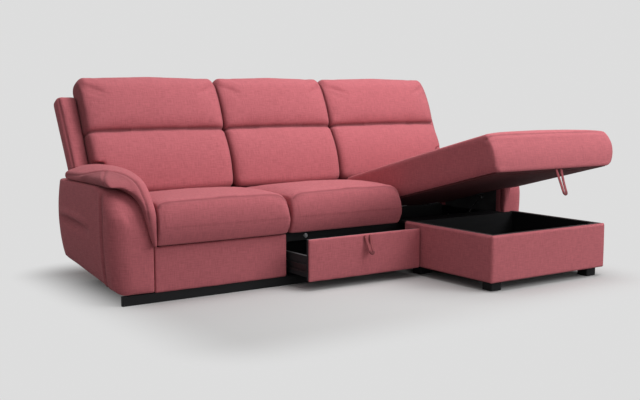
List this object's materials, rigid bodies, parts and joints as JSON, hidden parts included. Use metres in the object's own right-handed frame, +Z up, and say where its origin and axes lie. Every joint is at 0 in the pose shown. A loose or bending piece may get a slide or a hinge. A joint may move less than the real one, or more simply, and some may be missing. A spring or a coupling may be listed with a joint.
{
  "type": "chaise sofa",
  "caption": "Chaise sofa with a hinged lift-up chaise seat over a storage box, a pull-out drawer under the middle seat, padded arms and sewn back cushions.",
  "frame": {"origin": "floor level under the middle of the whole sofa, width and depth taken with the chaise seat raised and the drawer pulled out as pictured", "axes": "+X along the sofa towards the chaise end, +Y towards the back, +Z up"},
  "size_m": [2.656, 1.688, 1.0741],
  "materials": {
    "cover": "matte",
    "pull_tape": "matte",
    "timber": "matte",
    "black_board": "satin",
    "grey_board": "satin",
    "lining": "matte",
    "webbing": "matte",
    "steel": "satin",
    "black_steel": "satin"
  },
  "bodies": {
    "sofa_body": {"plinth_boards": "black_board", "base_rear_rail": "black_board", "base_side_boards": "black_board", "base_front_rails": "black_board", "drawer_header_rail": "black_board", "dust_cover": "lining", "corner_blocks": "black_board", "seat_webbing": "webbing", "left_front_padding": "cover", "left_front_board": "timber", "left_seat_cushion": "cover", "middle_seat_cushion": "cover", "left_arm_cover": "cover", "arm_frames": "timber", "left_arm_pad": "cover", "right_arm_cover": "cover", "right_arm_pad": "cover", "frame_bolts": "steel", "back_posts": "timber", "back_rails": "timber", "back_webbing": "webbing", "outer_back_upper": "cover", "outer_back_lower": "cover", "left_back_cushion": "cover", "middle_back_cushion": "cover", "right_back_cushion": "cover", "left_back_wing": "cover", "right_back_wing": "cover", "box_front_board": "black_board", "box_side_boards": "black_board", "box_rear_board": "black_board", "box_floor": "black_board", "box_front_padding": "cover", "box_side_padding": "cover", "box_feet": "black_board", "chaise_bridge_board": "black_board", "chaise_link_brackets": "black_steel", "well_side_lining": "lining", "hinge_rail": "black_board", "hinge_fixed_leaves": "steel", "hinge_pins": "steel", "strut_wall_brackets": "black_steel", "drawer_runner_channels": "black_steel"},
    "chaise_lid": {"lid_board": "black_board", "chaise_cushion": "cover", "lid_lining": "lining", "lid_pull_loop": "pull_tape", "hinge_moving_leaves": "steel", "strut_lid_brackets": "black_steel"},
    "drawer": {"drawer_front_padding": "cover", "drawer_front_board": "grey_board", "drawer_sides": "grey_board", "drawer_back": "grey_board", "drawer_bottom": "grey_board", "drawer_pull_loop": "pull_tape", "drawer_runner_rails": "black_steel"},
    "left_strut_cylinder": {"left_strut_cylinder": "black_steel"},
    "left_strut_rod": {"left_strut_rod": "steel"},
    "right_strut_cylinder": {"right_strut_cylinder": "black_steel"},
    "right_strut_rod": {"right_strut_rod": "steel"}
  },
  "joints": [
    {"name": "lid_hinge", "type": "hinge", "parent": "sofa_body", "child": "chaise_lid", "pos_m": [0.7235, 0.42164, 0.2865], "axis": [-1, 0, 0], "range_deg": [-14.3, 0]},
    {"name": "drawer_slide", "type": "slide", "parent": "sofa_body", "child": "drawer", "axis": [0, -1, 0], "range_m": [-0.194, 0.22]},
    {"name": "left_strut_swing", "type": "hinge", "parent": "sofa_body", "child": "left_strut_cylinder", "pos_m": [0.379, 0.30164, 0.1065], "axis": [-1, 0, 0], "range_deg": [-13.46, 0.05]},
    {"name": "left_strut_stroke", "type": "slide", "parent": "left_strut_cylinder", "child": "left_strut_rod", "axis": [0, -0.6983, 0.7158], "range_m": [-0.05392, 0.0003]},
    {"name": "right_strut_swing", "type": "hinge", "parent": "sofa_body", "child": "right_strut_cylinder", "pos_m": [1.068, 0.30164, 0.1065], "axis": [-1, 0, 0], "range_deg": [-13.46, 0.05]},
    {"name": "right_strut_stroke", "type": "slide", "parent": "right_strut_cylinder", "child": "right_strut_rod", "axis": [0, -0.6983, 0.7158], "range_m": [-0.05392, 0.0003]}
  ],
  "couplings": [
    {"joint": "left_strut_swing", "follows": "lid_hinge", "ratio": 0.93809},
    {"joint": "left_strut_stroke", "follows": "lid_hinge", "m_per_rad": 0.21485},
    {"joint": "right_strut_swing", "follows": "lid_hinge", "ratio": 0.93809},
    {"joint": "right_strut_stroke", "follows": "lid_hinge", "m_per_rad": 0.21485}
  ]
}
